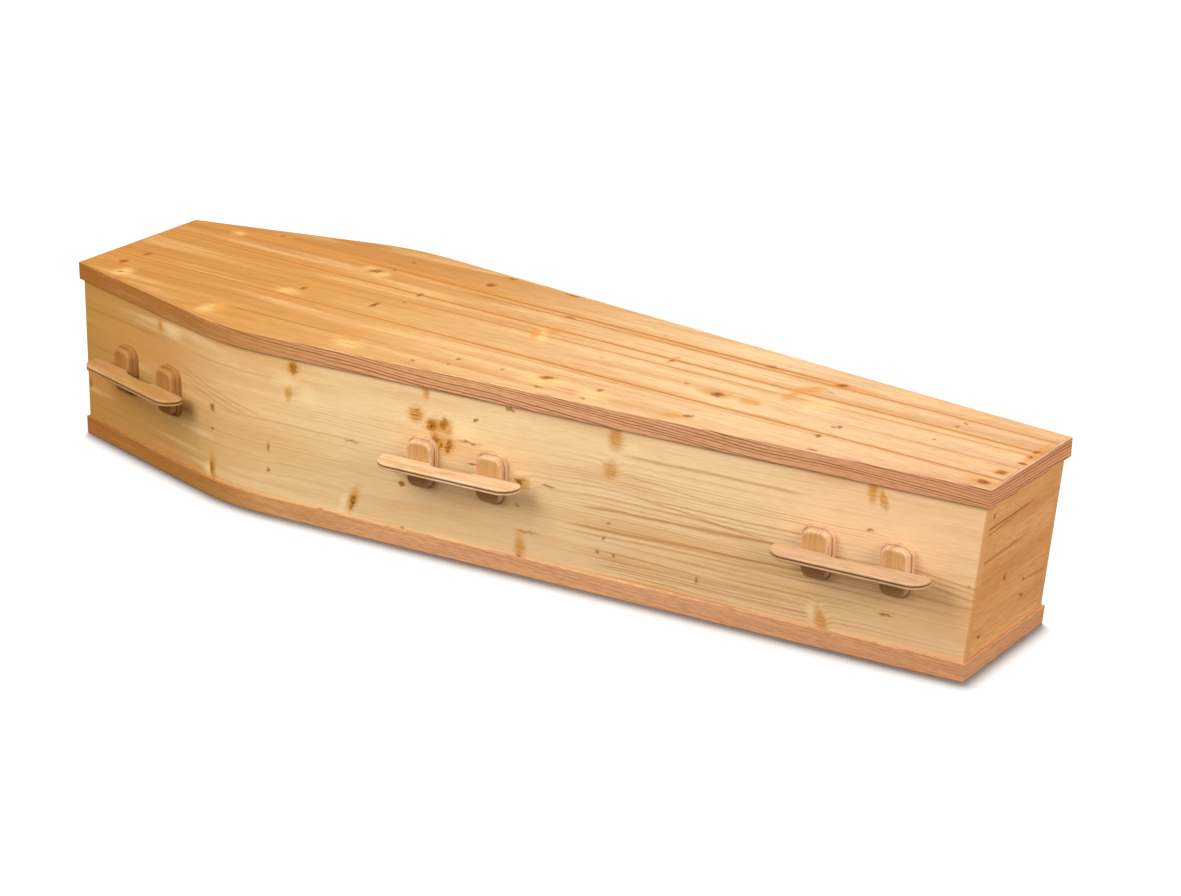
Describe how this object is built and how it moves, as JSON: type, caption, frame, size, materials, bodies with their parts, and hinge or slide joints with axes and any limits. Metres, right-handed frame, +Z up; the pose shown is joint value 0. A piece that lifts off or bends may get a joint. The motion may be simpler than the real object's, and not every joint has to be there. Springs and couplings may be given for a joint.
{
  "type": "wooden coffin",
  "caption": "Shouldered pine coffin with sides bent at the shoulder, a raked foot, a flat lid that lifts off, laths round lid and base, and fixed wooden bar handles along both sides.",
  "frame": {"origin": "middle of the underside of the coffin's bounding box, on the surface it stands on", "axes": "+X along the length from head to foot, +Z up, +Y to the left-hand side of a body lying face up"},
  "size_m": [1.95, 0.6252, 0.3503],
  "materials": {
    "lid_pine": "clear satin varnish over planed pine, grain along the length",
    "side_pine": "clear satin varnish over planed pine, grain along the length",
    "end_pine": "clear satin varnish over planed pine, grain across the width",
    "lath_pine": "clear satin varnish over redder pine",
    "handle_wood": "clear satin varnish over pinkish fine-grained hardwood",
    "hidden_pine": "bare planed pine"
  },
  "bodies": {
    "root": {"base_board": "hidden_pine", "base_lath_right": "lath_pine", "base_lath_left": "lath_pine", "base_lath_head": "lath_pine", "base_lath_foot": "lath_pine", "side_board_right": "side_pine", "side_board_left": "side_pine", "head_board": "end_pine", "foot_board": "end_pine", "lid_board": "lid_pine", "lid_lath_right": "lath_pine", "lid_lath_left": "lath_pine", "lid_lath_head": "lath_pine", "lid_lath_foot": "lath_pine", "handle_right_1_bar": "handle_wood", "handle_right_1_block_head": "handle_wood", "handle_right_1_block_foot": "handle_wood", "handle_right_2_bar": "handle_wood", "handle_right_2_block_head": "handle_wood", "handle_right_2_block_foot": "handle_wood", "handle_right_3_bar": "handle_wood", "handle_right_3_block_head": "handle_wood", "handle_right_3_block_foot": "handle_wood", "handle_left_1_bar": "handle_wood", "handle_left_1_block_head": "handle_wood", "handle_left_1_block_foot": "handle_wood", "handle_left_2_bar": "handle_wood", "handle_left_2_block_head": "handle_wood", "handle_left_2_block_foot": "handle_wood", "handle_left_3_bar": "handle_wood", "handle_left_3_block_head": "handle_wood", "handle_left_3_block_foot": "handle_wood"}
  },
  "joints": []
}
